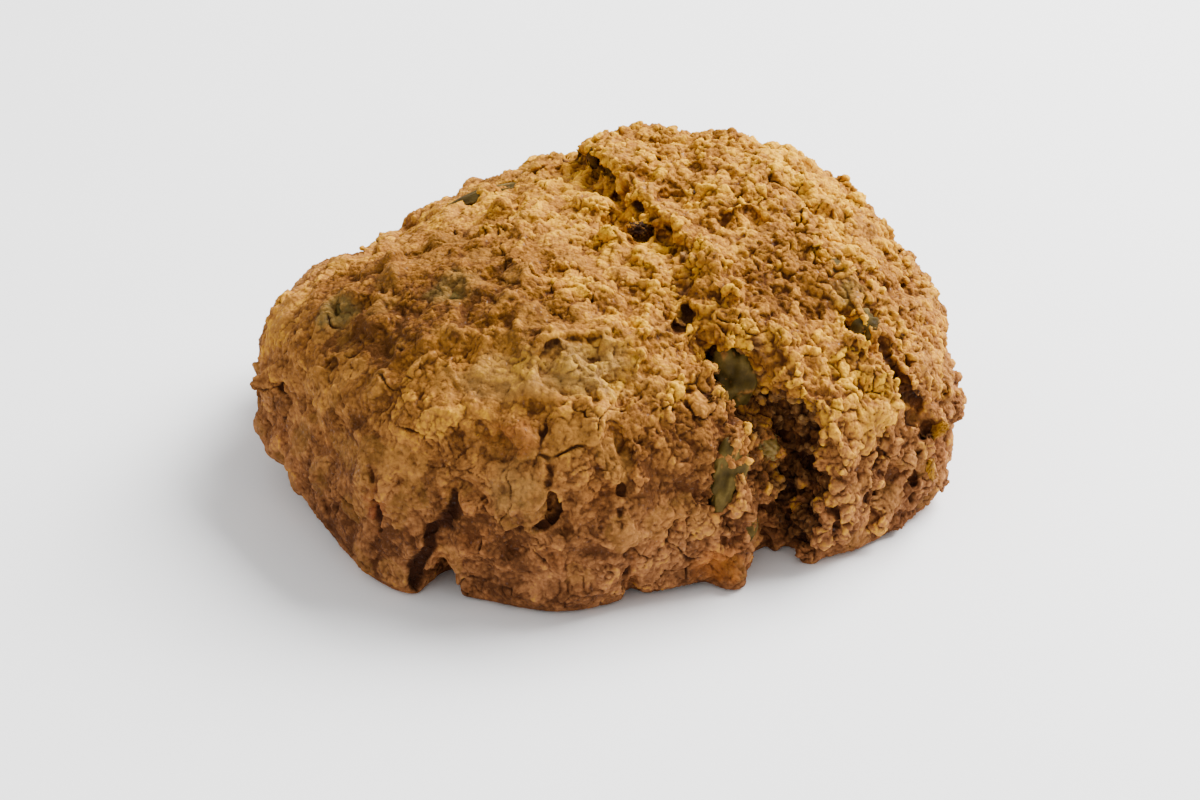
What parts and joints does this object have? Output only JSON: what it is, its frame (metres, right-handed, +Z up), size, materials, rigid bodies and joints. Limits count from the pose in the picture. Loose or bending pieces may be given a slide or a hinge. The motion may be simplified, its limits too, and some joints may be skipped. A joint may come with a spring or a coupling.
{
  "type": "rustic oat cookie",
  "caption": "Tall mound of coarse oat cookie dough, baked in one piece and split open on one side, with green fruit, raisins and seeds in its crumbly golden crust and a flat foot.",
  "frame": {"origin": "middle of the footprint's bounding box, on the surface that the cookie rests on", "axes": "+Z up, +X along the longest side from the left dome to the right lobe, and the wide split opens towards -Y"},
  "size_m": [0.1108, 0.1044, 0.0472],
  "materials": {
    "crust": "matte",
    "green_fruit": "satin",
    "pale_fruit": "satin",
    "raisin": "satin",
    "seed": "satin"
  },
  "bodies": {
    "root": {"cookie": "crust", "fruit_in_split": "green_fruit", "fruit_left_lip": "green_fruit", "fruit_below_lip": "green_fruit", "fruit_right_crack_upper": "green_fruit", "fruit_right_crack_lower": "green_fruit", "fruit_left_crown": "green_fruit", "fruit_left_side": "green_fruit", "fruit_far_left": "green_fruit", "raisin_in_seam": "raisin", "raisin_on_crown": "raisin", "seed_in_crack": "seed", "seed_right_lobe": "seed", "pale_fruit_in_split": "pale_fruit"}
  },
  "joints": []
}
